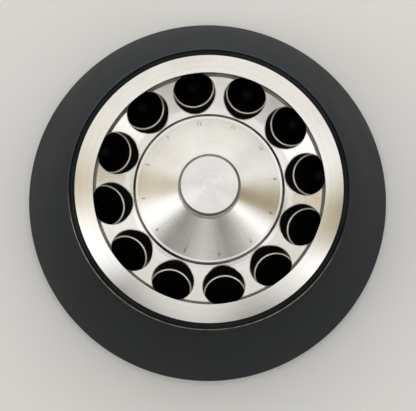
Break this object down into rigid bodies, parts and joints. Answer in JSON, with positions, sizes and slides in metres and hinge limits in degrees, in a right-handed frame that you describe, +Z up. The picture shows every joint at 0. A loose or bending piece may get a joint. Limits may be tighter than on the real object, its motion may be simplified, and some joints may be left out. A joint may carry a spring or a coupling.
{
  "type": "fixed angle rotor",
  "caption": "Fixed angle centrifuge rotor without its lid: black conical body, bare turned rim and deck with a ring of tilted tube cavities, conical hub and plain round boss.",
  "frame": {"origin": "centre of the foot that the rotor stands on", "axes": "+Z up along the spin axis; +X and +Y across, with the first tube cavity 8.6 degrees from +X"},
  "size_m": [0.2516, 0.2516, 0.1361],
  "materials": {
    "painted_titanium": "satin black paint outside, bare turned metal on the rim, deck, hub and boss, black cavities",
    "pin_steel": "ground"
  },
  "bodies": {
    "root": {"rotor_body": "painted_titanium", "drive_pin_1": "pin_steel", "drive_pin_2": "pin_steel"}
  },
  "joints": []
}
